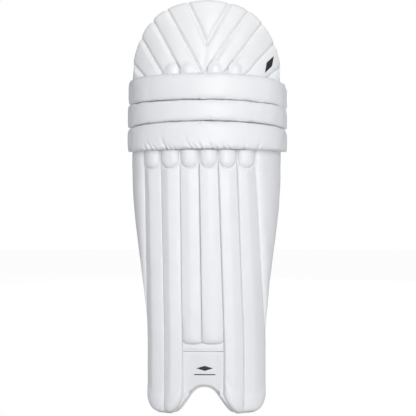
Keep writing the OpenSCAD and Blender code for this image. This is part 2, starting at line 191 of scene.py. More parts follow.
def fold(x, z, x0, z0, slant, length, width):
    """A single short crease that runs up from x0, z0 and leans by slant: 1 on it, 0 away from it."""
    along = (z - z0) / length
    off = (x - x0 - slant * (z - z0)) / (width * (0.55 + 0.45 * np.clip(along, 0, 1)))
    return np.exp(-off ** 2) * smooth(1 - along) * smooth((z - z0) / 2 + 1)


def circle(n):
    """Cosines and sines of n angles round a full turn."""
    j = np.linspace(0, 2 * np.pi, n, endpoint=False)
    return np.cos(j), np.sin(j)


def even(n, ends=0.0):
    """n + 1 shares from 0 to 1, closer together at both ends."""
    u = np.linspace(0, 1, n + 1)
    return u - ends * np.sin(2 * np.pi * u) / (2 * np.pi)


def mesh_piece(name, points, faces, material, body=None, nodes=(), slot=None, fill=None, sharp=48):
    """An object from points in millimetres, which hides the CAD parts it stands for and hangs on its body, when
    these are given.
    """
    mesh = bpy.data.meshes.new(name)
    mesh.from_pydata((np.asarray(points, float).reshape(-1, 3) * MM).tolist(), [], faces)
    mesh.update()
    mesh.polygons.foreach_set("use_smooth", np.ones(len(mesh.polygons), bool))
    if sharp:
        mesh.set_sharp_from_angle(angle=np.radians(sharp))
    mesh.materials.append(material)
    obj = bpy.data.objects.new(name, mesh)
    SCENE.collection.objects.link(obj)
    if nodes:
        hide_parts(*nodes)
    if body:
        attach(obj, body)
    return obj


def slab(front, back):
    """Faces of the closed solid between two grids of points, rows up and columns across."""
    r, c = front.shape[:2]
    n = r * c
    i = (np.arange(r - 1)[:, None] * c + np.arange(c - 1)[None]).ravel()
    faces = np.concatenate([np.stack([i, i + 1, i + c + 1, i + c], 1),
                            n + np.stack([i, i + c, i + c + 1, i + 1], 1)])
    rim = np.concatenate([np.arange(c), np.arange(1, r) * c + c - 1,
                          (r - 1) * c + np.arange(c - 2, -1, -1), np.arange(r - 2, 0, -1) * c])
    nxt = np.roll(rim, -1)
    faces = np.concatenate([faces, np.stack([nxt, rim, n + rim, n + nxt], 1)])
    return np.concatenate([front.reshape(-1, 3), back.reshape(-1, 3)]), faces.tolist()


def tube(rings):
    """Faces of a closed tube through rings of points, its ends closed by a fan."""
    k, n = rings.shape[:2]
    a = (np.arange(k - 1)[:, None] * n + np.arange(n)[None]).ravel()
    b = (np.arange(k - 1)[:, None] * n + (np.arange(n)[None] + 1) % n).ravel()
    faces = np.stack([a, b, b + n, a + n], 1).tolist()
    first, last = k * n, k * n + 1
    faces += [[first, (j + 1) % n, j] for j in range(n)]
    faces += [[last, (k - 1) * n + j, (k - 1) * n + (j + 1) % n] for j in range(n)]
    points = np.concatenate([rings.reshape(-1, 3), [rings[0].mean(0)], [rings[-1].mean(0)]])
    return points, faces


def many(parts):
    points, faces, n = [], [], 0
    for p, f in parts:
        p = np.asarray(p).reshape(-1, 3)
        points.append(p)
        faces += [[v + n for v in face] for face in f]
        n += len(p)
    return np.concatenate(points), faces


def outward(obj):
    """Turns a closed mesh's faces outwards."""
    b = bmesh.new()
    b.from_mesh(obj.data)
    bmesh.ops.recalc_face_normals(b, faces=b.faces)
    b.to_mesh(obj.data)
    b.free()
    return obj


def tangents(path):
    """Unit tangents at a path's points."""
    t = np.gradient(path, axis=0)
    return t / np.linalg.norm(t, axis=1)[:, None]


def superellipse(count, power):
    """The two coordinates of a rounded square's outline, out to 1. Lower powers are squarer."""
    c, s = circle(count)
    return np.sign(c) * np.abs(c) ** power, np.sign(s) * np.abs(s) ** power


def read_points(mesh):
    co = np.zeros(len(mesh.vertices) * 3)
    mesh.vertices.foreach_get("co", co)
    return co.reshape(-1, 3)


def write_points(mesh, points):
    mesh.vertices.foreach_set("co", points.ravel())
    mesh.update()


def tube_along(path, normal, width, thick, n=10, power=0.8):
    """A tape or piping along a path: width lies across normal, thick along it."""
    t = tangents(path)
    nrm = normal - (normal * t).sum(1)[:, None] * t
    nrm /= np.linalg.norm(nrm, axis=1)[:, None]
    side = np.cross(nrm, t)
    c, s = superellipse(n, power)
    rings = (path[:, None] + side[:, None] * (c[None, :, None] * width / 2)
             + nrm[:, None] * (s[None, :, None] * thick / 2))
    return tube(rings)


def stitches(path, normal, pitch=3.2, length=2.2, width=0.55, lift=0.0):
    """A row of thread dashes lying along a path."""
    steps = np.linalg.norm(np.diff(path, axis=0), axis=1)
    at = np.concatenate([[0], np.cumsum(steps)])
    count = max(int(at[-1] / pitch), 1)
    parts = []
    for k in range(count):
        s = (k + 0.5) * at[-1] / count + np.array([-0.5, -0.25, 0, 0.25, 0.5]) * length
        p = np.stack([np.interp(s, at, path[:, c]) for c in range(3)], 1)
        nn = np.stack([np.interp(s, at, normal[:, c]) for c in range(3)], 1)
        nn /= np.linalg.norm(nn, axis=1)[:, None]
        p = p + nn * (lift + np.array([-0.2, 0.12, 0.2, 0.12, -0.2]))[:, None]
        parts.append(tube_along(p, nn, width, width * 0.7, n=6, power=1))
    return parts


def normals_of(grid):
    """Unit normals of a grid's points, towards its front."""
    gx, gz = np.gradient(grid, axis=1), np.gradient(grid, axis=0)
    n = np.cross(gx, gz)
    return n / np.maximum(np.linalg.norm(n, axis=-1), 1e-9)[..., None]


# ---------- Materials ----------

def nodes_of(name):
    m = bpy.data.materials.new(name)
    m.use_nodes = True
    t = m.node_tree
    return m, t, t.nodes["Principled BSDF"]


def add(t, kind, **inputs):
    n = t.nodes.new(kind)
    for k, v in inputs.items():
        if k in n.inputs:
            n.inputs[k].default_value = v
        else:
            setattr(n, k, v)
    return n


def coords(t):
    return add(t, "ShaderNodeTexCoord").outputs["Object"]


def noise_node(t, vector, scale, detail=4.0, rough=0.55):
    n = add(t, "ShaderNodeTexNoise", Scale=scale, Detail=detail, Roughness=rough)
    t.links.new(vector, n.inputs["Vector"])
    return n.outputs["Fac"]


def ramp(t, fac, stops):
    r = add(t, "ShaderNodeValToRGB")
    e = r.color_ramp.elements
    while len(e) < len(stops):
        e.new(0.5)
    for k, (at, c) in enumerate(stops):
        e[k].position = at
        e[k].color = (*c, 1)
    t.links.new(fac, r.inputs["Fac"])
    return r.outputs["Color"]


def bump(t, height, strength, distance, before=None):
    b = add(t, "ShaderNodeBump", Strength=strength, Distance=distance)
    t.links.new(height, b.inputs["Height"])
    if before is not None:
        t.links.new(before, b.inputs["Normal"])
    return b.outputs["Normal"]


def leather(name, light, shade, rough=0.46, grain=0.16, crumple=0.25):
    """Coated leather cloth: fine pebble grain, faint crumples, and a tone that drifts slightly greyer in broad
    random patches.
    """
    m, t, p = nodes_of(name)
    v = coords(t)
    p.inputs["Specular IOR Level"].default_value = 0.42
    p.inputs["Coat Weight"].default_value = 0.06
    p.inputs["Coat Roughness"].default_value = 0.3
    stain = noise_node(t, v, 9, 5)
    t.links.new(ramp(t, stain, [(0.3, shade), (0.62, light)]), p.inputs["Base Color"])
    t.links.new(ramp(t, noise_node(t, v, 60, 3), [(0.3, (rough - 0.07,) * 3), (0.7, (rough + 0.08,) * 3)]),
                p.inputs["Roughness"])
    cells = add(t, "ShaderNodeTexVoronoi", Scale=1150.0, feature="SMOOTH_F1")
    t.links.new(v, cells.inputs["Vector"])
    low = bump(t, noise_node(t, v, 95, 3), crumple, 0.0008)
    t.links.new(bump(t, cells.outputs["Distance"], grain, 0.0002, low), p.inputs["Normal"])
    return m


def weave(name, light, shade, scale, depth=0.5, rough=0.85, sheen=0.25, ways=("X", "Z")):
    """Woven or knitted cloth: two crossed sets of threads."""
    m, t, p = nodes_of(name)
    v = coords(t)
    p.inputs["Sheen Weight"].default_value = sheen
    p.inputs["Roughness"].default_value = rough
    rows = []
    for way in ways:
        w = add(t, "ShaderNodeTexWave", Scale=scale, Distortion=0.6, bands_direction=way)
        w.inputs["Detail"].default_value = 1.0
        t.links.new(v, w.inputs["Vector"])
        rows.append(w.outputs["Fac"])
    mix = add(t, "ShaderNodeMath", operation="MULTIPLY")
    t.links.new(rows[0], mix.inputs[0])
    t.links.new(rows[1], mix.inputs[1])
    t.links.new(ramp(t, noise_node(t, v, 30, 5), [(0.3, shade), (0.7, light)]), p.inputs["Base Color"])
    t.links.new(bump(t, mix.outputs[0], depth, 0.0004), p.inputs["Normal"])
    return m


def fuzzy(name, light, shade, scale, rough=0.95, sheen=0.6, depth=0.5):
    """Felt, brushed or looped cloth."""
    m, t, p = nodes_of(name)
    v = coords(t)
    p.inputs["Sheen Weight"].default_value = sheen
    p.inputs["Roughness"].default_value = rough
    f = noise_node(t, v, scale, 6, 0.7)
    t.links.new(ramp(t, f, [(0.3, shade), (0.7, light)]), p.inputs["Base Color"])
    t.links.new(bump(t, f, depth, 0.0005), p.inputs["Normal"])
    return m


def plain(name, colour, rough, grain=400.0):
    """Smooth moulded plastic or a print: one colour with a fine, faint grain."""
    m, t, p = nodes_of(name)
    v = coords(t)
    f = noise_node(t, v, grain, 3)
    dark = tuple(c * 0.94 for c in colour)
    t.links.new(ramp(t, f, [(0.35, dark), (0.65, colour)]), p.inputs["Base Color"])
    t.links.new(ramp(t, f, [(0.3, (rough - 0.05,) * 3), (0.7, (rough + 0.05,) * 3)]), p.inputs["Roughness"])
    t.links.new(bump(t, f, 0.08, 0.0002), p.inputs["Normal"])
    return m


WHITE = leather("pad_leather", (0.9, 0.905, 0.915), (0.865, 0.872, 0.885))
HAT_WHITE = leather("hat_leather", (0.91, 0.915, 0.92), (0.88, 0.887, 0.897), crumple=0.3)
PANEL = leather("panel_leather", (0.87, 0.875, 0.885), (0.84, 0.847, 0.86), rough=0.5)
BINDING = leather("binding_leather", (0.88, 0.885, 0.89), (0.82, 0.825, 0.835), rough=0.42, grain=0.1,
                  crumple=0.12)
THREAD = weave("thread", (0.86, 0.86, 0.86), (0.72, 0.72, 0.73), 900, 0.6)
LINING = weave("lining_cloth", (0.8, 0.805, 0.81), (0.73, 0.735, 0.745), 420, 0.5, sheen=0.4)
BOLSTER = weave("bolster_cloth", (0.84, 0.845, 0.85), (0.77, 0.775, 0.785), 380, 0.5, sheen=0.45)
WEBBING = weave("webbing", (0.85, 0.85, 0.855), (0.77, 0.775, 0.785), 260, 0.9, rough=0.7, ways=("Z", "X"))
HOOK = fuzzy("hook_tape", (0.8, 0.805, 0.81), (0.55, 0.555, 0.56), 900, rough=0.7, sheen=0.1, depth=1.0)
FELT = fuzzy("board_felt", (0.72, 0.71, 0.69), (0.58, 0.57, 0.55), 300)
CANE = fuzzy("cane", (0.72, 0.56, 0.34), (0.55, 0.39, 0.2), 120, rough=0.55, sheen=0.0, depth=0.3)
PLASTIC = plain("ring_plastic_white", (0.83, 0.835, 0.84), 0.32)
INK = plain("mark_print", (0.02, 0.02, 0.022), 0.42, grain=250.0)

# ---------- Camera, light and floor ----------

camera = bpy.data.objects.new("view_camera", bpy.data.cameras.new("view_camera"))
SCENE.collection.objects.link(camera)
camera.location = (0.0026, FRONT_Y * MM - 1.5, 0.344)
camera.rotation_euler = (np.pi / 2, 0, 0)
camera.data.lens = 78.95
camera.data.sensor_width = 36
SCENE.camera = camera
SCENE.view_settings.view_transform = "Standard"

world = bpy.data.worlds.new("studio")
SCENE.world = world
world.use_nodes = True
wt = world.node_tree
background = wt.nodes["Background"]
background.inputs["Color"].default_value = (0.94, 0.965, 1.0, 1)
background.inputs["Strength"].default_value = 0.42
seen = add(wt, "ShaderNodeBackground", Color=(1, 1, 1, 1), Strength=1.0)
ray, both = add(wt, "ShaderNodeLightPath"), add(wt, "ShaderNodeMixShader")
wt.links.new(ray.outputs["Is Camera Ray"], both.inputs[0])
wt.links.new(background.outputs[0], both.inputs[1])
wt.links.new(seen.outputs[0], both.inputs[2])
wt.links.new(both.outputs[0], wt.nodes["World Output"].inputs["Surface"])


def softbox(name, place, aim, size, power):
    light = bpy.data.lights.new(name, "AREA")
    light.shape = "RECTANGLE"
    light.size, light.size_y = size
    light.energy = power
    o = bpy.data.objects.new(name, light)
    o.visible_camera = False
    SCENE.collection.objects.link(o)
    o.location = place
    o.rotation_euler = (Vector(aim) - Vector(place)).to_track_quat("-Z", "Y").to_euler()


softbox("key", (0.36, -2.5, 0.78), (0, 0, 0.3), (1.2, 1.3), 31)
softbox("front_fill", (0.1, -2.5, 0.1), (0, 0, 0.12), (1.2, 0.6), 8)
softbox("rear_fill", (0.5, 2.4, 1.3), (0, 0, 0.35), (1.2, 1.2), 42)


def floor():
    """A pale matt floor that the camera sees as evenly white, with the shadows kept."""
    m, t, p = nodes_of("floor_paint")
    p.inputs["Roughness"].default_value = 0.8
    p.inputs["Specular IOR Level"].default_value = 0.1
    v = coords(t)
    t.links.new(ramp(t, noise_node(t, v, 3, 3), [(0.3, (0.5, 0.5, 0.505)), (0.7, (0.52, 0.52, 0.525))]),
                p.inputs["Base Color"])
    glow, mixed = add(t, "ShaderNodeEmission", Strength=1.08), add(t, "ShaderNodeMixShader")
    path = add(t, "ShaderNodeLightPath")
    share = add(t, "ShaderNodeMath", operation="MULTIPLY")
    share.inputs[1].default_value = 0.88
    t.links.new(path.outputs["Is Camera Ray"], share.inputs[0])
    t.links.new(share.outputs[0], mixed.inputs[0])
    t.links.new(p.outputs[0], mixed.inputs[1])
    t.links.new(glow.outputs[0], mixed.inputs[2])
    t.links.new(mixed.outputs[0], t.nodes["Material Output"].inputs["Surface"])
    n, rings = 96, [500, 1200, 2500, 6000]
    points = [(0, 0, 0)] + [(r * np.cos(2 * np.pi * j / n), r * np.sin(2 * np.pi * j / n), 0)
                            for r in rings for j in range(n)]
    faces = [(0, 1 + j, 1 + (j + 1) % n) for j in range(n)]
    for k in range(len(rings) - 1):
        faces += [(1 + k * n + j, 1 + (k + 1) * n + j, 1 + (k + 1) * n + (j + 1) % n, 1 + k * n + (j + 1) % n)
                  for j in range(n)]
    mesh_piece("floor", points, faces, m, sharp=0)


floor()

# ---------- Cloth ----------

FRAMES = 20


def swell(obj, cap, held, pressure, extra):
    """Lets the pressure of the stuffing and some spare cloth work on a closed mesh. held is each point's share
    of being sewn down, extra the spare share of cloth, and no point moves further than cap millimetres."""
    mesh = obj.data
    rest = read_points(mesh)
    group = obj.vertex_groups.new(name="sewn")
    for k in np.nonzero(held > 0.01)[0]:
        group.add([int(k)], float(min(held[k], 1)), "REPLACE")
    cloth = obj.modifiers.new("stuffing", "CLOTH")
    s = cloth.settings
    s.quality = 6
    s.mass = 0.35
    s.tension_stiffness = s.compression_stiffness = 18
    s.shear_stiffness = 8
    s.bending_stiffness = 2.5
    s.use_pressure = True
    s.uniform_pressure_force = pressure
    s.vertex_group_mass = "sewn"
    s.pin_stiffness = 1.0
    s.shrink_min = -extra
    s.effector_weights.gravity = 0
    cloth.collision_settings.use_self_collision = False
    cloth.point_cache.frame_start, cloth.point_cache.frame_end = 1, FRAMES
    for f in range(1, FRAMES + 1):
        SCENE.frame_set(f)
    worked = obj.evaluated_get(bpy.context.evaluated_depsgraph_get())
    move = np.nan_to_num(read_points(worked.to_mesh()) - rest)
    worked.to_mesh_clear()
    size = np.linalg.norm(move, axis=1)
    limit = cap * MM
    share = np.where(size > 1e-12, limit * np.tanh(size / limit) / np.maximum(size, 1e-12), 1)
    obj.modifiers.remove(cloth)
    obj.vertex_groups.clear()
    write_points(mesh, rest + move * share[:, None])
    SCENE.frame_set(1)


# ---------- Shin channels ----------

# Each channel's ridge, as a share of its width from its left seam
RIDGE = [0.38, 0.42, 0.46, 0.45, 0.5, 0.47]
# How steeply each channel falls from its ridge to its left and right seams
SLOPES = [(0.6, 0.75), (0.5, 0.6), (0.2, 0.25), (0.2, 0.25), (0.3, 0.35), (0.3, 0.55)]
# Millimetres rounded off the left and right corners of each channel's end
CORNERS = [(7, 1.2), (1.2, 7), (4.5, 3), (3, 4.5), (7, 1.2), (1.2, 7)]
TOP_Z = ROLLS_Z[0] - 0.6


def nub_place(i):
    """Centre and half-width of the knee bolster's end in a channel."""
    a, b = seam_x(i, 425), seam_x(i + 1, 425)
    return (a + b) / 2, (b - a) / 2 - 1.6


def nub_outside(x, z, centre, half, tip):
    """Distance out from a U-shaped outline with a round tip at the bottom."""
    zc = tip + half
    return np.where(z < zc, np.hypot(x - centre, z - zc), np.abs(x - centre)) - half


def end_z(i, x, u):
    """The lower edge of a channel, rounded up at its corners."""
    corner = np.where(u < 0.5, CORNERS[i][0], CORNERS[i][1])
    return (INSTEP_Z if i in (2, 3) else sole_z(x) + 3) + corner * np.abs(2 * u - 1) ** 4


def channel(i):
    """Stuffed channel i, with its round end at the foot and a ledge under the bolster's end at the top."""
    middle = i in (2, 3)
    u = even(34, 0.75)[None]
    v = even(170, 0.6)[:, None]
    x_low = lerp(SEAM_LOW_X[i], SEAM_LOW_X[i + 1], u)
    low = end_z(i, x_low, u)
    z = lerp(low, TOP_Z, v)
    left, right = seam_x(i, z) + 0.12, seam_x(i + 1, z) - 0.12
    x = lerp(left, right, u)
    side, foot = np.minimum(x - left, right - x), z - low
    q = np.where(u < RIDGE[i], (RIDGE[i] - u) / RIDGE[i], (u - RIDGE[i]) / (1 - RIDGE[i])) + 0 * z
    roof = 1 - np.where(u < RIDGE[i], *SLOPES[i]) * (np.sqrt(q * q + 0.003) - 0.03)
    dome = np.sqrt(np.clip(1 - 0.8 * q * q, 0, 1))
    round_end = smooth(1 - (foot - 12) / 34)
    centre, half = nub_place(i)
    beyond = nub_outside(x, z, centre, half, NUB_LOW_Z)
    flat = upright(x, z)
    height = 8 * plunge(side + 0.12, 2.4) * lerp(roof, dome, round_end) * plunge(foot, 9.5)
    height *= lerp(0.45, 1, plunge(beyond, 3))
    height += 1.0 * np.exp(-((foot - 15) / 9) ** 2) * dome * plunge(side, 5) * (0.4 if middle else 1)
    height -= 0.7 * np.exp(-((foot - 34) / 8) ** 2) * plunge(side, 5) * (0 if middle else 1)
    height += ripple(flat, 46, 10 + i) * 0.28 * plunge(side, 6)
    height -= np.clip(ripple(flat * [0.5, 1, 1], 11, 30 + i), 0, 1) * 0.55 * np.exp(-((side - 2.2) / 2.4) ** 2)
    front = on_shell(x, z, 8.2 - height)
    back = on_shell(x, z, CHANNEL_T - 0.2)
    solid = slab(front, back)
    nodes = [f"shin_channel_cover_{i + 1}"] + (["shin_channel_foam"] if i == 0 else [])
    mesh_piece(f"shin_channel_{i + 1}", *solid, WHITE, "shin", nodes, "cover", fill=0.85)


for i in range(6):
    channel(i)


def lower_nubs():
    parts = []
    for i in range(6):
        centre, half = nub_place(i)
        half -= 0.5
        zc = NUB_LOW_Z + 0.4 + half
        a = np.linspace(0.06, np.pi / 2, 16)
        z = np.concatenate([zc - half * np.cos(a), np.linspace(zc, TOP_Z - 0.2, 17)[1:]])[:, None]
        w = np.where(z < zc, np.sqrt(np.clip(half ** 2 - (zc - z) ** 2, 0, None)), half)
        u = -np.cos(np.linspace(0, np.pi, 27))[None]
        x = centre + u * w
        inside = np.where(z < zc, half - np.hypot(x - centre, z - zc), half - np.abs(x - centre))
        height = 9 * plunge(inside, 13.5)
        height += 0.35 * ripple(upright(x, z), 17, 70 + i) * plunge(inside, 5)
        parts.append(slab(on_shell(x, z, 5.0 - height), on_shell(x, z, 7.9)))
    mesh_piece("knee_bolster_ends", *many(parts), WHITE, "shin", ["knee_bolster_ends_lower"], "cover", fill=0.9)


lower_nubs()

# ---------- Wings ----------

WING_LOW_Z, WING_R = 122, 112


def wing(side):
    u, v = even(22, 0.6)[None], even(110, 0.6)[:, None]
    z = lerp(WING_LOW_Z, TOP_Z, v) + 0 * u
    inner = np.abs(seam_x(0 if side < 0 else 6, z)) + 0.3
    outer = edge_x(z) - 0.4
    low = WING_LOW_Z + 6 * u ** 3
    z = lerp(low, TOP_Z, v)
    a0, a1 = angle_at(inner, z), angle_at(outer, z)
    a = lerp(a0, a1, u)
    s_in, s_out, foot = np.radians(a - a0) * WING_R, np.radians(a1 - a) * WING_R, z - low
    height = 8 * plunge(s_in, 14) * plunge(s_out, 8) * plunge(foot, 60) * (0.8 + 0.2 * np.sin(np.pi * u))
    height *= 1 - 0.06 * np.exp(-((z - 404) / 2.6) ** 2)
    height += 1.3 * smooth((z - 400) / 30) * plunge(s_in, 7) * plunge(s_out, 8) * plunge(TOP_Z + 3 - z, 9)
    flat = upright(a * 2, z)
    height += 0.45 * ripple(flat, 40, 90 + side) * plunge(s_in, 8) * plunge(s_out, 8)
    height -= 0.6 * np.clip(ripple(flat, 13, 95 + side), 0, 1) * np.exp(-((s_in - 3) / 3) ** 2)
    front = shell(side * a, z, 8.4 - height)
    back = shell(side * a, z, CHANNEL_T - 0.9)
    if side < 0:
        front, back = front[:, ::-1], back[:, ::-1]
    solid = slab(front, back)
    name = "inner" if side < 0 else "outer"
    nodes = [f"wing_{name}_cover"] + (["wing_foam"] if side < 0 else [])
    mesh_piece(f"wing_{name}", *solid, WHITE, "shin", nodes, "cover", fill=0.7)


wing(-1)
wing(1)

# ---------- Instep ----------

BAND_SEAMS = (2.7, 4.6)


def instep_x(u):
    return lerp(SEAM_LOW_X[2] + 0.2, SEAM_LOW_X[4] - 0.2, u)


def instep_panel():
    u, v = even(44, 0.5)[None], even(46, 0.5)[:, None]
    x = instep_x(u) + 0 * v
    low, high = np.maximum(sole_z(x) + 4, 0), BAND_Z - 0.5
    z = lerp(low, high, v)
    side, foot, top = np.minimum(u, 1 - u) * 66, z - low, high - z
    d = 12.2 + 3.2 * (1 - v) ** 1.5
    d = d - 2.6 * (1 - smooth(side / 13)) + 5.0 * (1 - plunge(foot, 5)) + 0.6 * (1 - plunge(top, 2.5))
    d += 0.4 * ripple(upright(x, z), 60, 41) * plunge(side, 8)
    solid = slab(on_shell(x, z, d), on_shell(x, z, CHANNEL_T - 0.3))
    mesh_piece("instep_panel_leather", *solid, PANEL, "shin", ["instep_panel"], "cover", fill=0.3)


def instep_band():
    """The stitched band above the panel. Its upper edge follows the middle channels' ends."""
    u, v = even(64, 0.3)[None], even(22, 0.4)[:, None]
    x = instep_x(u) + 0 * v
    i = np.where(x < SEAM_LOW_X[3], 2, 3)
    lows, highs = np.where(i == 2, *SEAM_LOW_X[2:4]), np.where(i == 2, *SEAM_LOW_X[3:5])
    share = (x - lows) / (highs - lows)
    high = np.where(i == 2, end_z(2, x, share), end_z(3, x, share)) - 0.5
    z = lerp(BAND_Z, high, v)
    foot, top = z - BAND_Z, high - z
    d = 11 + 1.4 * (1 - plunge(foot, 2.6)) + 1.2 * (1 - plunge(top, 3.2))
    for row in BAND_SEAMS:
        d = d + 0.45 * np.exp(-((foot - row) / 0.6) ** 2)
    front = on_shell(x, z, d)
    solid = slab(front, on_shell(x, z, CHANNEL_T - 0.3))
    mesh_piece("instep_band_leather", *solid, WHITE, "shin", ["instep_band"], "cover", fill=0.3)
    rows = []
    n = normals_of(front)
    for row in BAND_SEAMS:
        k = int(np.argmin(np.abs(foot[:, 32] - row)))
        rows += stitches(front[k, 2:-2], n[k, 2:-2], 3.0, 2.1, 0.6, 0.1)
    mesh_piece("instep_band_stitches", *many(rows), THREAD, "shin", slot="binding")


def foot_flange():
    """The flat edge of leather between the channels' round ends and the binding."""
    parts = []
    for x0, x1 in ((-100, -30), (24, 100)):
        u, v = np.linspace(0, 1, 70)[None], np.linspace(0, 1, 6)[:, None]
        x = lerp(x0, x1, u) + 0 * v
        z = sole_z(x) + 0.9 + 10 * v
        d = 10.5 + 1.5 * (1 - plunge(10 * v + 0 * x, 3))
        parts.append(slab(on_shell(x, z, d), on_shell(x, z, 24)))
    mesh_piece("foot_edge_leather", *many(parts), PANEL, "shin", slot="cover", fill=0.1)


instep_panel()
instep_band()
foot_flange()

# ---------- Knee rolls ----------

# Gathers where the lowest roll is sewn down: across, leaning, length, depth
GATHERS = [(-91, -0.77, 20, 1.5), (-84, -0.98, 15, 1), (-66, -0.7, 24, 1.8), (-59, -1.05, 17, 1.4),
           (-52, -1.26, 12, 0.9), (-25, -0.84, 18, 1.5), (-17, -1.12, 12, 1), (-8, -0.7, 15, 1.2),
           (10, -0.7, 17, 1.4), (17, -1.05, 13, 1), (29, -0.84, 16, 1.2), (37, -1.12, 13, 1.1),
           (62, 0.56, 15, 1), (84, 0.7, 17, 1.2), (-101, -0.42, 14, 1.1)]
# How much further out each roll comes at its inner end, and all of them at their outer end
INNER_GROWTH, OUTER_GROWTH = (0, -1, -4), 7


def roll(k):
    """Horizontal roll k: a rounded bar round the shell, filled out by the cloth."""
    name, around, steps = LEVELS[k], 60, 220
    t = np.linspace(-1, 1, steps)
    a = ROLL_END * lerp(t, np.sin(np.radians(90 * t)), 0.45)[:, None]
    s = np.abs(a) / ROLL_END
    full = np.sqrt(np.clip(1 - s ** 40 * 0.9, 0, 1))
    drop, tall = (np.where(a < 0, inner, outer) for inner, outer in zip(*ROLL_ENDS[k]))
    height = ROLLS_Z[k + 1] - 0.6 - ROLLS_Z[k]
    rz = np.maximum(lerp(height, tall, s * s) / 2 * full, 0.3)
    out = ROLL_OUT + np.where(a < 0, INNER_GROWTH[k], OUTER_GROWTH) * s * s
    rd = np.maximum((out + ROLL_BACK_D) / 2 * full, 0.3)
    zc, dc = ROLLS_Z[k] + height / 2 - drop * s * s, (ROLL_BACK_D - out) / 2
    c, q = (v[None] for v in circle(around))
    power = 0.45
    z = zc + (rz + 0.05 + 1.6 * s * s * full) * np.sign(q) * np.minimum(1.15 * np.abs(q) ** power, 1)
    d = dc + (rd - 0.8) * np.sign(c) * np.abs(c) ** power
    if k == 2:
        z = z + 3.4 * smooth((0.5 - d) / 9) * np.clip(q, 0, 1) ** 0.5 * (1 - s ** 8)
    rings = leg_shell(a, z, d)
    points, faces = tube(rings)
    obj = mesh_piece(f"knee_roll_{name}", points, faces, WHITE, None,
                     [f"knee_roll_{name}_cover", f"knee_roll_{name}_foam"], "cover", sharp=0)
    outward(obj)
    held = np.zeros(len(points))
    behind = (c > 0.25) + 0 * s
    tucked = smooth((np.abs(q) - 0.93) / 0.07) * 0.85 + 0 * s
    held[:steps * around] = np.maximum(behind, tucked).ravel()
    held[-2:] = 1
    held[:around * 2] = 1
    held[(steps - 2) * around:steps * around] = 1
    swell(obj, 1.2, held, pressure=4, extra=0.012)
    dress_roll(obj, k, a, c)
    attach(obj, f"knee_{name}")


def dress_roll(obj, k, a, c):
    """Works the gathers and the end panels' seams into a roll, whose section's back has c = 1."""
    co = read_points(obj.data) / MM
    grid = co[:-2].reshape(len(a), c.size, 3)
    na = np.gradient(grid, axis=0)
    nb = np.roll(grid, -1, 1) - np.roll(grid, 1, 1)
    n = np.cross(nb, na)
    n /= np.maximum(np.linalg.norm(n, axis=-1), 1e-9)[..., None]
    middle = grid.mean(1, keepdims=True)
    if ((grid - middle) * n).sum() < 0:
        n = -n
    x = grid[..., 0]
    front = smooth((0.3 - c) * 3) + 0 * x
    up = grid[..., 2] - grid[..., 2].min(1, keepdims=True)
    down = grid[..., 2].max(1, keepdims=True) - grid[..., 2]
    sink = np.zeros(x.shape)
    rng = np.random.default_rng(200 + k)
    if k == 0:
        for x0, lean, length, depth in GATHERS:
            sink += 1.9 * depth * fold(x, up, x0, 1.5, lean, length * 0.9, 2.8)
            sink -= 1.1 * depth * fold(x, up, x0 + 4.2, 1.5, lean, length * 0.8, 2.6)
    else:
        for x0 in np.sort(rng.uniform(-100, 100, 11)):
            depth, lean, length = rng.uniform(0.4, 1.0), rng.uniform(-0.6, 0.3), rng.uniform(7, 13)
            sink += depth * fold(x, up, x0, 1, lean, length, 2.6)
    for x0 in np.sort(rng.uniform(-100, 100, 9)):
        depth, lean, length = rng.uniform(0.25, 0.6), rng.uniform(-0.5, 0.5), rng.uniform(5, 9)
        sink += depth * fold(x, down, x0, 1, lean, length, 1.8)
    # The upper roll's pinched place near the inner end of its top seam, and the dent beside it
    if k == 2:
        sink += 1.3 * fold(x, down, -57, 1, 0.25, 13, 3.0) + 0.9 * fold(x, down, -48, 1, -0.2, 11, 2.6)
        sink += 1.4 * np.exp(-(((x + 96) / 5) ** 2 + ((up - 14) / 5) ** 2))
    edge = np.abs(np.abs(a) + 0 * x - (66.5 - 6 * (1 - (2 * up / 36 - 1) ** 2)))
    sink += 0.8 * np.exp(-(edge / 1.4) ** 2)
    sink += 0.3 * ripple(grid * [0.7, 1, 1.4], 34, 210 + k) + 0.12 * ripple(grid, 12, 220 + k)
    grid = grid - n * (sink * front)[..., None]
    co[:-2] = grid.reshape(-1, 3)
    write_points(obj.data, co * MM)


for k in range(3):
    roll(k)

# ---------- Thigh guard ----------

# Each seam's x at the lower edge, and its end at the crown
HAT_SEAMS = [[-106, [-129.3, 590]], [-73.4, [-115.4, 631.5]], [-40.5, [-94.4, 658]], [-6, [-68.7, 674.5]],
             [-4.4, [74, 672]], [28.5, [99.1, 653.5]], [64, [120.3, 621.5]], [100, [130.3, 583]]]
# Each side channel's ridge, as a share of its width
HAT_PEAKS = [0.55, 0.45, 0.5, 0.45, 0.5, 0.45, 0.5, 0.5]
APEX, APEX_TOPS = [0.5, 615.7], [[-31.5, 684], [40, 683]]
HAT_TOP_D, HAT_BACK_D = 4, 21.4
CROWN_FROM, CROWN_Z = 548, 686
# The crown is a superellipse of this power
CROWN_POWER = 2.5


def crown_half_w(z, rim=0):
    """Half the width of the thigh guard's crown at height z, rim millimetres inside its edge."""
    up = np.clip((z - CROWN_FROM) / (CROWN_Z - rim - CROWN_FROM), 0, 1)
    return (THIGH_W - rim) * (1 - up ** CROWN_POWER) ** (1 / CROWN_POWER)


def low_end(x):
    return [x, float(hat_low(x)) - 0.2]


def hat_seam(i):
    return [low_end(HAT_SEAMS[i][0]), HAT_SEAMS[i][1]]


def side_line(side):
    """The thigh guard's own edge, up to where the first or last seam ends."""
    z = HAT_SEAMS[0 if side < 0 else 7][1][1]
    return [low_end(side * (THIGH_W + 0.4)), [side * (float(crown_half_w(z)) + 0.2), z]]


def along(line, t):
    line = np.array(line, float)
    n = len(line) - 1
    k = np.minimum(np.floor(t * n).astype(int), n - 1)
    return lerp(line[k], line[k + 1], (t * n - k)[..., None])


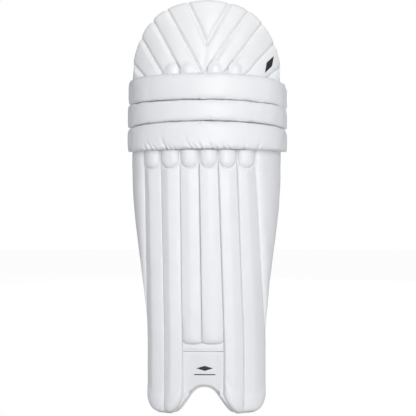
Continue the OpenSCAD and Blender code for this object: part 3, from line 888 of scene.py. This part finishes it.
def line_distance(x, z, line):
    best = np.full(np.shape(x), 1e9)
    for p, q in zip(line[:-1], line[1:]):
        (px, pz), (qx, qz) = p, q
        run = max((qx - px) ** 2 + (qz - pz) ** 2, 1e-9)
        s = np.clip(((x - px) * (qx - px) + (z - pz) * (qz - pz)) / run, 0, 1)
        best = np.minimum(best, np.hypot(x - px - s * (qx - px), z - pz - s * (qz - pz)))
    return best


NUB_HIGH, NUB_HIGH_Z, NUB_HIGH_R = [-59, -31, 15, 49], 586, 12


def hat_cell(a, b, seams, seed, us=26, puff=1.6, peak=0.5, joined=None):
    """One stuffed cell between lines a and b. seams are the lines that its cover is sewn down along, and joined
    says which of the two lines it shares with another cell of the same cover, in its lower half."""
    t = even(64, 0.5)
    u = even(us, 0.6)[None, :, None]
    p, q = along(a, t)[:, None], along(b, t)[:, None]
    width = np.maximum(np.linalg.norm(q - p, axis=-1, keepdims=True), 0.01)
    gap = np.minimum(0.08 / width, 0.45)
    stem = t[:, None, None] < 0.5
    g0, g1 = np.where(stem & (joined == 0), 0, gap), np.where(stem & (joined == 1), 0, gap)
    flat = lerp(p, q, lerp(g0, 1 - g1, u))
    out = flat - np.array([0, 590.0])
    out /= np.linalg.norm(out, axis=-1)[..., None]
    end = smooth((t[:, None] - 0.8) / 0.2)
    flat = flat + out * (end * puff * 4 * u[..., 0] * (1 - u[..., 0]))[..., None]
    x, z = flat[..., 0], flat[..., 1]
    side = line_distance(x, z, seams[0])
    for s in seams[1:]:
        side = np.minimum(side, line_distance(x, z, s))
    long = np.linalg.norm(np.subtract(a[-1], a[0]))
    foot, top = t[:, None] * long + 0 * x, (1 - t[:, None]) * long + 0 * x
    u = u[..., 0]
    ridge = 1 - 0.2 * np.where(u < peak, (peak - u) / peak, (u - peak) / (1 - peak)) ** 1.6
    height = 6.6 * smooth((side + 1.2) / 7) * ridge * plunge(foot + 3, 5) * plunge(top + 1.2, 6)
    flat = upright(x, z)
    height += 0.5 * ripple(flat, 44, seed) * plunge(side, 8)
    height -= 0.7 * np.clip(ripple(flat, 12, seed + 50), 0, 1) * np.exp(-((side - 3) / 3) ** 2)
    return x, z, height


def hat_piece(name, cells, nodes):
    parts = []
    for x, z, height in cells:
        front = on_shell(x, z, HAT_TOP_D + 6.8 - height)
        parts.append(slab(front, on_shell(x, z, HAT_BACK_D - 0.2)))
    mesh_piece(name, *many(parts), HAT_WHITE, "top_hat", nodes, "cover", fill=0.85)


def hat():
    """Four channels on each side, the chevron that rises between them, and the wedge inside it."""
    inner = [side_line(-1)] + [hat_seam(i) for i in range(4)]
    outer = [hat_seam(i) for i in range(4, 8)] + [side_line(1)]
    for n, peak in enumerate(HAT_PEAKS):
        name, lines = (f"inner_{n + 1}", inner[n:n + 2]) if n < 4 else (f"outer_{n - 3}", outer[n - 4:n - 2])
        nodes = [f"hat_channel_{name}"] + (["hat_foam"] if n == 0 else [])
        hat_piece(f"hat_{name}", [hat_cell(*lines, lines, 300 + n, peak=peak)], nodes)
    legs = [[low_end(-5.2), APEX, top] for top in APEX_TOPS]
    upper = [leg[1:] for leg in legs]
    hat_piece("hat_chevron", [
        hat_cell(hat_seam(3), legs[0], [hat_seam(3), upper[0]], 320, peak=0.6, joined=1),
        hat_cell(legs[1], hat_seam(4), [hat_seam(4), upper[1]], 320, peak=0.4, joined=0),
    ], ["hat_chevron_cover"])
    wedge = [[[APEX[0] - 1.2, APEX[1] + 1.8], APEX_TOPS[0]], [[APEX[0] + 1.2, APEX[1] + 1.8], APEX_TOPS[1]]]
    hat_piece("hat_wedge", [hat_cell(wedge[0], wedge[1], wedge, 322, us=34, puff=3.4)], ["hat_wedge_cover"])


hat()


def upper_nubs():
    """The bolsters' upper ends, in low relief above the top roll."""
    parts, half, zc = [], NUB_HIGH_R, NUB_HIGH_Z - NUB_HIGH_R
    for c in NUB_HIGH:
        low = float(hat_low(c)) + 0.8
        a = np.linspace(np.pi / 2, 0.06, 16)
        z = np.concatenate([np.linspace(low, zc, 9)[:-1], zc + half * np.cos(a)])[:, None]
        w = np.where(z > zc, np.sqrt(np.clip(half ** 2 - (z - zc) ** 2, 0, None)), half)
        u = -np.cos(np.linspace(0, np.pi, 25))[None]
        x = c + u * w
        inside = np.where(z > zc, half - np.hypot(x - c, z - zc), half - np.abs(x - c))
        height = 3.8 * smooth((inside + 1) / 11)
        front = on_shell(x, z, 3.4 - height)
        parts.append(slab(front, on_shell(x, z, 3.9)))
    mesh_piece("knee_bolster_tops", *many(parts), HAT_WHITE, "knee_upper", ["knee_bolster_ends_upper"], "cover",
               fill=0.8)


upper_nubs()

# ---------- Lining, backing and bindings ----------

def across(u):
    """Shares from -1 to 1 that are even in angle round the shell."""
    return np.sin(np.radians(WING_END * (2 * u - 1))) / np.sin(np.radians(WING_END))


def quilt(a, rows, depth, width=2.2):
    """How far quilting seams at the given places sink a sheet."""
    return depth * sum(np.exp(-((a - r) / width) ** 2) for r in rows)


def shin_lining():
    u, v = np.linspace(0, 1, 141)[None], even(110, 0.3)[:, None]
    low = sole_z(across(u) * edge_x(0)) + 9.5
    z = lerp(low, SHIN_TOP_Z - 0.4, v)
    x = across(u) * edge_x(z)
    a = np.abs(angle_at(x, z))
    flat = upright(x, z)
    puffed = 0.9 - quilt(a, (7, 21, 36, 51, 64), 1.1, 1.6) + 0.25 * ripple(flat, 30, 501)
    rim = np.minimum(np.minimum(z - low, SHIN_TOP_Z - z), (WING_END - a) * 1.8)
    back = LINING_D[0] + 0.9 + np.clip(puffed, 0, 1.3) * plunge(rim, 8) * np.where(a > 54, 0.5, 1)
    solid = slab(on_shell(x, z, LINING_D[0]), on_shell(x, z, back))
    mesh_piece("shin_lining_quilted", *solid, LINING, "shin", ["shin_lining"], "lining", fill=0.15)


def backing_segment(k):
    name, low, high = LEVELS[k], BOARDS_Z[k], BOARDS_Z[k + 1] - 0.5
    u, v = np.linspace(0, 1, 101)[None], even(24, 0.6)[:, None]
    a, z = lerp(-76, 76, u) + 0 * v, lerp(low, high, v) + 0 * u
    rim = np.minimum(np.minimum(z - low, high - z), (76 - np.abs(a)) * 1.8)
    d = 32.4 + 1.5 * plunge(rim, 5) - quilt(np.abs(a), (49, 62), 0.7, 1.4)
    solid = slab(leg_shell(a, z, 22.4 + 1.4 * (1 - plunge(rim, 3))), leg_shell(a, z, d))
    mesh_piece(f"knee_backing_cloth_{name}", *solid, LINING, f"knee_{name}", [f"knee_backing_{name}"],
               "lining", fill=0.2)


def hat_lining():
    v = even(60, 0.5)[:, None]
    z = lerp(556.8, 676, v ** 0.8)
    w = crown_half_w(z, 7)
    u = np.linspace(-1, 1, 101)[None]
    x, z = u * w, z + 0 * u
    flat = upright(x, z)
    rim = np.minimum(np.minimum(z - 556.8, 677 - z), w - np.abs(x))
    lean = (z - 560) * 0.55
    seams = quilt(x - lean, (-90, -45, 0), 0.9, 2.0) + quilt(x + lean, (0, 45, 90), 0.9, 2.0)
    d = 28.2 + np.clip(1.2 - seams + 0.2 * ripple(flat, 30, 511), 0, 1.3) * plunge(rim, 8)
    solid = slab(on_shell(x, z, 27.8), on_shell(x, z, d))
    mesh_piece("hat_lining_quilted", *solid, LINING, "top_hat", ["hat_lining"], "lining", fill=0.15)


shin_lining()
for k in range(3):
    backing_segment(k)
hat_lining()


def binding(name, tapes, sewn, node, body, kind="tape"):
    mesh_piece(f"{name}_{kind}", *many(tapes), BINDING, body, [node], "binding", fill=0.5)
    mesh_piece(f"{name}_stitches", *many(sewn), THREAD, body, slot="binding")


def bindings():
    """The sewn tapes: round the feet and arch, down the wings' rear edges, and round the crown."""
    x = np.linspace(-102, 102, 160)
    share = wall_share(angle_at(x, 0 * x))
    path = on_shell(x, sole_z(x) + 2.6, CHANNEL_T + (3.2 + 0.7) / share)
    path[:, 2] = np.maximum(path[:, 2], 2.9)
    out = on_shell(x, sole_z(x) + 2.6, CHANNEL_T - 4) - path
    out /= np.linalg.norm(out, axis=1)[:, None]
    sewn = stitches(path[4:-4] + out[4:-4] * 3.05, out[4:-4], 3.4, 2.3)
    binding("foot_binding", [tube_along(path, out, 5.4, 6.2, 14, 0.75)], sewn, "foot_binding", "shin")

    parts, sewn = [], []
    for side in (-1, 1):
        z = np.linspace(34, 439, 120)
        path = shell(side * (WING_END + 178 / half_d(z)), z, CHANNEL_T + 4)
        way = path - shell(side * 70, z, CHANNEL_T + 4)
        way /= np.linalg.norm(way, axis=1)[:, None]
        parts.append(tube_along(path, way, 4.6, 4.4, 12, 0.75))
        sewn += stitches(path + way * 2.15, way, 3.4, 2.3)
    binding("wing_binding", parts, sewn, "wing_bindings", "shin", "tapes")

    k = np.linspace(-84, 84, 181)
    a = np.radians(np.abs(k))
    half, up, power = THIGH_W - 2.6, CROWN_Z - 2.6 - CROWN_FROM, 2 / CROWN_POWER
    x = np.sign(k) * half * np.sin(a) ** power
    z = CROWN_FROM + up * np.cos(a) ** power
    keep = z > 562
    x, z = x[keep], z[keep]
    path = on_shell(x, z, HAT_BACK_D + (2.6 + 0.7) / wall_share(angle_at(x, z)))
    way = np.stack([x, 0 * x, z - 575], 1)
    way /= np.linalg.norm(way, axis=1)[:, None]
    sewn = stitches(path[3:-3] + way[3:-3] * 2.5, way[3:-3], 3.4, 2.3)
    binding("hat_binding", [tube_along(path, way, 5.2, 5.0, 14, 0.75)], sewn, "hat_binding", "top_hat")


bindings()

# ---------- Calf bolsters and knee cups ----------

BOLSTER_Z = (150.0, 375.0)


def cushion(name, rings, seam, cap, extra, body):
    """A stuffed tube of cloth, sewn down along its seam and at its ends."""
    points, faces = tube(rings)
    obj = outward(mesh_piece(f"{name}_pad", points, faces, BOLSTER, None, [name], "lining", sharp=0))
    held, ends = np.zeros(len(points)), 2 * rings.shape[1]
    held[:-2] = (seam + 0 * rings[..., 0]).ravel()
    held[:ends] = held[-ends - 2:] = 1
    swell(obj, cap, held, pressure=3, extra=extra)
    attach(obj, body)


def calf_bolster(side):
    r, x0, (low, high) = 12.0, 50 * side, BOLSTER_Z
    ends = on_shell(np.array([x0, x0]), np.array(BOLSTER_Z), np.array([LINING_D[1] + r + 1] * 2))
    cx, cy = ends[1][0], max(ends[0][1], ends[1][1])
    z = np.concatenate([low - r * np.cos(np.linspace(0.12, np.pi / 2, 14)), np.linspace(low, high, 80)[1:-1],
                        high + r * np.sin(np.linspace(0, np.pi / 2 - 0.12, 14))])
    beyond = np.maximum(np.maximum(low - z, z - high), 0)
    rr = np.sqrt(np.clip(r * r - beyond ** 2, 0, None)) - 0.7
    j = np.linspace(0, 2 * np.pi, 36, endpoint=False)[None]
    rings = np.stack([cx + rr[:, None] * np.cos(j), cy + rr[:, None] * np.sin(j), z[:, None] + 0 * j], -1)
    seam = np.exp(-((np.sin(j / 2 + 0.8)) / 0.06) ** 2)
    cushion("calf_bolster_inner" if side < 0 else "calf_bolster_outer", rings, seam, 0.8, 0.04, "shin")


def knee_cup(k):
    low, high = BOARDS_Z[k] + 2, BOARDS_Z[k + 1] - 2.5
    t = np.linspace(-1, 1, 80)[:, None]
    a, s = 46 * np.sin(np.radians(90 * t)), np.abs(t)
    full = np.sqrt(np.clip(1 - s ** 6 * 0.8, 0, 1))
    rz, rd = (high - low) / 2 * full - 0.5, 7.5 * full - 0.6
    c, q = (v[None] for v in circle(34))
    rings = leg_shell(a, (low + high) / 2 + rz * q, LINING_D[1] + 8 + rd * c)
    cushion(f"knee_cup_{LEVELS[k]}", rings, np.exp(-((c + 0.75) / 0.2) ** 2), 0.9, 0.05, f"knee_{LEVELS[k]}")


for side in (-1, 1):
    calf_bolster(side)
for k in range(3):
    knee_cup(k)


def gusset(z, name):
    """A strip of stretch cloth over a crease, between the piece below and the piece above."""
    u, v = np.linspace(0, 1, 91)[None], np.linspace(0, 1, 13)[:, None]
    a, zz = lerp(-72, 72, u) + 0 * v, z - 0.25 + lerp(-5.5, 5.5, v) + 0 * u
    dip = 0.35 * np.cos(np.pi * (2 * v - 1)) + 0 * u
    back = 34.75 + dip * 0.5 + 0.1 * ripple(upright(a * 2, zz), 14, 601)
    points, faces = slab(leg_shell(a, zz, 34.2), leg_shell(a, zz, back))
    obj = mesh_piece(name, points, faces, BOLSTER, None, slot="lining", fill=0.05)
    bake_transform(obj)


for k in range(3):
    gusset(BOARDS_Z[k], f"crease_cloth_{k + 1}")

# ---------- Straps ----------

TAIL_LEN, RING_LEN, RING_GAP, TAB_LEN, CLEAR = 78, 17, 4, 9, 3.6
NAMES = ["knee", "calf", "ankle"]


class Strap:
    """The arc of a strap from its root on the inner wing round to the ring on the outer one."""

    def __init__(self, k):
        self.z, self.w, sag = STRAPS[k]
        p = shell(-STRAP_ROOT, self.z, LINING_D[1] + 1.2)
        self.x0, self.y0 = p[0], p[1] + 5
        self.r = (self.x0 ** 2 + sag ** 2) / (2 * sag)
        self.cy = self.y0 + sag - self.r
        self.half = np.degrees(np.arcsin(-self.x0 / self.r))
        self.bar = self.half - self.deg(TAB_LEN)
        self.fold = self.bar - self.deg(RING_LEN + RING_GAP)

    def deg(self, run):
        return np.degrees(run / self.r)

    def at(self, a, off, z):
        """Points at angle a from the arc's middle, off outside it and z above its middle line."""
        a = np.radians(a)
        r = self.r + off
        return np.stack(np.broadcast_arrays(r * np.sin(a), self.cy + r * np.cos(a), self.z + z), -1)

    def give(self, a, start, end, z, seed, wave):
        """How far soft webbing waves out of its arc, nothing at its ends."""
        soft = np.sin(np.pi * (a - start) / (end - start)) ** 0.5
        return wave * ripple(upright(a * 1.7, z), 60, seed) * np.clip(soft, 0, 1)

    def band(self, start, end, off, thick, w, seed, wave=0.5):
        """A flat ribbed band with round edges."""
        a = np.linspace(start, end, 90)[:, None]
        c, s = (v[None] for v in circle(28))
        across_w = np.sign(s) * np.abs(s) ** 0.35 * w / 2
        through = np.sign(c) * np.abs(c) ** 0.5 * thick / 2
        give = self.give(a, start, end, across_w, seed, wave)
        rib = 0.12 * np.cos(across_w * 2 * np.pi / 2.6) * np.where(np.abs(c) > 0.3, 1, 0) * np.sign(c)
        return tube(self.at(a, off + through + give + rib, across_w))

    def row(self, start, end, off, z, seed, wave, outer):
        """A row of stitches on the band, on its outer face or, with outer -1, its inner one."""
        a = np.linspace(start, end, 160)
        give = self.give(a, start, end, z, seed, wave)
        p = self.at(a, off + give, z)
        n = self.at(a, off + give + outer, z) - p
        return stitches(p, n / np.linalg.norm(n, axis=1)[:, None], 3.6, 2.5, 0.6)


def strap(k):
    s, name = Strap(k), NAMES[k]
    start, end = -s.half + s.deg(CLEAR), s.fold
    outward(mesh_piece(f"{name}_strap_webbing", *s.band(start, end, 0, 3.3, s.w - 0.4, 700 + k), WEBBING,
                       f"{name}_strap", [f"{name}_strap"], "webbing", sharp=0))
    rows = []
    for z in (-s.w / 2 + 3.2, s.w / 2 - 3.2):
        rows += s.row(start + 1, end - 1, 1.72, z, 700 + k, 0.5, 1)
        rows += s.row(start + 1, end - 1, -1.72, z, 700 + k, 0.5, -1)
    mesh_piece(f"{name}_strap_stitches", *many(rows), THREAD, f"{name}_strap", slot="webbing")
    t0, t1 = s.fold - s.deg(TAIL_LEN), s.fold - s.deg(1)
    outward(mesh_piece(f"{name}_tail_hooks", *s.band(t0, t1, 4.1, 2.3, s.w - 4.4, 720 + k, 0.1), HOOK,
                       f"{name}_strap_tail", [f"{name}_strap_tail"], "webbing", sharp=0))
    rows = []
    for z in (-s.w / 2 + 4.6, s.w / 2 - 4.6):
        rows += s.row(t0 + 1, t1 - 1, 5.3, z, 720 + k, 0.1, 1)
    mesh_piece(f"{name}_tail_stitches", *many(rows), THREAD, f"{name}_strap_tail", slot="webbing")


def ring_tabs():
    parts = []
    for k in range(3):
        s = Strap(k)
        a = np.radians(s.bar)
        along_x = np.array([np.cos(a), -np.sin(a), 0])
        out = np.array([np.sin(a), np.cos(a), 0])
        centre = np.array([s.r * np.sin(a), s.cy + s.r * np.cos(a), s.z])
        r, end = 3.5, TAB_LEN + 2.2
        turn = np.linspace(0.35, 2 * np.pi - 0.35, 26)
        loop = np.stack([r * np.cos(turn), r * np.sin(turn)], 1)
        lead = np.stack([np.linspace(end, 5.2, 7), np.full(7, 0.72)], 1)
        path = np.concatenate([lead, loop, lead[::-1] * [1, -1]])
        mid = centre + path[:, :1] * along_x + path[:, 1:] * out
        n = np.cross(tangents(mid), [0, 0, 1])
        wz, th = superellipse(20, 0.3)[1] * (s.w - 4.2) / 2, superellipse(20, 0.5)[0] * 0.62
        rings = mid[:, None] + n[:, None] * th[None, :, None] + np.array([0, 0, 1.0]) * wz[None, :, None]
        parts.append(tube(rings))
    outward(mesh_piece("ring_tab_webbing", *many(parts), WEBBING, "shin", ["ring_tabs"], "webbing", sharp=50))


# The route of a patch's sewing: round its edge and over both diagonals, in shares of its sides
SEWN_BOX = [(0.16, 0.1), (0.84, 0.1), (0.84, 0.9), (0.16, 0.9), (0.16, 0.1), (0.84, 0.9), (0.84, 0.1),
            (0.16, 0.9)]


def strap_anchors():
    parts, rows = [], []
    for k in range(3):
        s = Strap(k)
        w = s.w + 6
        for a0 in (-74, 58):
            u, v = even(30, 0.6)[None], even(44, 0.6)[:, None]
            a, z = a0 + 16 * u + 0 * v, s.z + (v - 0.5) * w + 0 * u
            rim = np.minimum(np.minimum(u, 1 - u) * 27, np.minimum(v, 1 - v) * w)
            d = 35.6 + 2.6 * plunge(rim, 2.4) + 0.25 * ripple(upright(a * 1.7, z), 20, 740 + k)
            parts.append(slab(shell(a, z, 35.4), shell(a, z, d)))
            for (u0, v0), (u1, v1) in zip(SEWN_BOX[:-1], SEWN_BOX[1:]):
                t = np.linspace(0, 1, 30)
                aa, zz = a0 + 16 * lerp(u0, u1, t), s.z + (lerp(v0, v1, t) - 0.5) * w
                p, q = shell(aa, zz, 38.35), shell(aa, zz, 39.35)
                n = (q - p) / np.linalg.norm(q - p, axis=1)[:, None]
                rows += stitches(p, n, 3.2, 2.2, 0.6)
    outward(mesh_piece("strap_anchor_patches", *many(parts), BINDING, "shin", ["strap_anchors"], "binding",
                       fill=0.1))
    mesh_piece("strap_anchor_stitches", *many(rows), THREAD, "shin", slot="binding")


for k in range(3):
    strap(k)
ring_tabs()
strap_anchors()

# ---------- Marks: a plain rhombus and a plain line, in place of any printed sign ----------

PRINT_T = 0.35


def patch(outline, place, depth):
    """A thin print on the surface: a four-cornered outline filled by a grid, laid at a depth."""
    p = np.array(outline, float)
    u, v = np.linspace(0, 1, 15)[None, :, None], np.linspace(0, 1, 15)[:, None, None]
    flat = lerp(lerp(p[0], p[1], u), lerp(p[3], p[2], u), v) + place
    x, z = flat[..., 0], flat[..., 1]
    d = depth(x, z)
    return slab(on_shell(x, z, d - PRINT_T), on_shell(x, z, d + 0.6))


def surface_depth(names):
    """Depth of the modelled surface under points, found by a ray from the front."""
    meshes = [bpy.data.objects[n].data for n in names]
    trees = [BVHTree.FromPolygons([v.co.copy() for v in m.vertices], [tuple(p.vertices) for p in m.polygons])
             for m in meshes]

    def depth(x, z):
        out = np.zeros(x.shape)
        for i in np.ndindex(x.shape):
            a, b = on_shell(x[i], z[i], -20.0), on_shell(x[i], z[i], 26.0)
            far = np.linalg.norm(b - a)
            hits = [t.ray_cast(Vector(a * MM), Vector((b - a) / far)) for t in trees]
            near = min((hit[3] for hit in hits if hit[0] is not None), default=far / 2 * MM)
            out[i] = lerp(-20, 26, near / MM / far)
        return out
    return depth


def marks():
    on_hat = surface_depth(["hat_outer_2", "hat_outer_3"])
    tilt = np.radians(62)
    turn = np.array([[np.cos(tilt), np.sin(tilt)], [-np.sin(tilt), np.cos(tilt)]])
    rhombus = np.array([[-17, 0], [0, -5.2], [17, 0], [0, 5.2]])
    mesh_piece("hat_mark", *patch(rhombus @ turn, [108.5, 586.0], on_hat), INK, "top_hat", slot="binding")
    on_panel = surface_depth(["instep_panel_leather"])
    parts = [patch([[-15, 0], [0, -4.2], [15, 0], [0, 4.2]], [-3.0, 78.0], on_panel),
             patch([[-19, -0.8], [19, -0.8], [19, 0.8], [-19, 0.8]], [-3.0, 67.5], on_panel)]
    mesh_piece("instep_mark", *many(parts), INK, "shin", slot="binding")


marks()

# ---------- What stays as the CAD has it ----------

KEPT = {"cane_rods": CANE, "shin_backing_board": FELT, "hat_backing_board": FELT,
        "knee_ring": PLASTIC, "calf_ring": PLASTIC, "ankle_ring": PLASTIC}
for name, material in KEPT.items():
    node = frame["nodes"][name]
    node.data.materials.clear()
    node.data.materials.append(material)
    if "ring" in name:
        edge = node.modifiers.new("round_edges", "BEVEL")
        edge.width, edge.segments, edge.limit_method = 0.0007, 3, "ANGLE"
        edge.angle_limit = np.radians(40)
        node.data.polygons.foreach_set("use_smooth", np.ones(len(node.data.polygons), bool))
        node.data.set_sharp_from_angle(angle=np.radians(50))
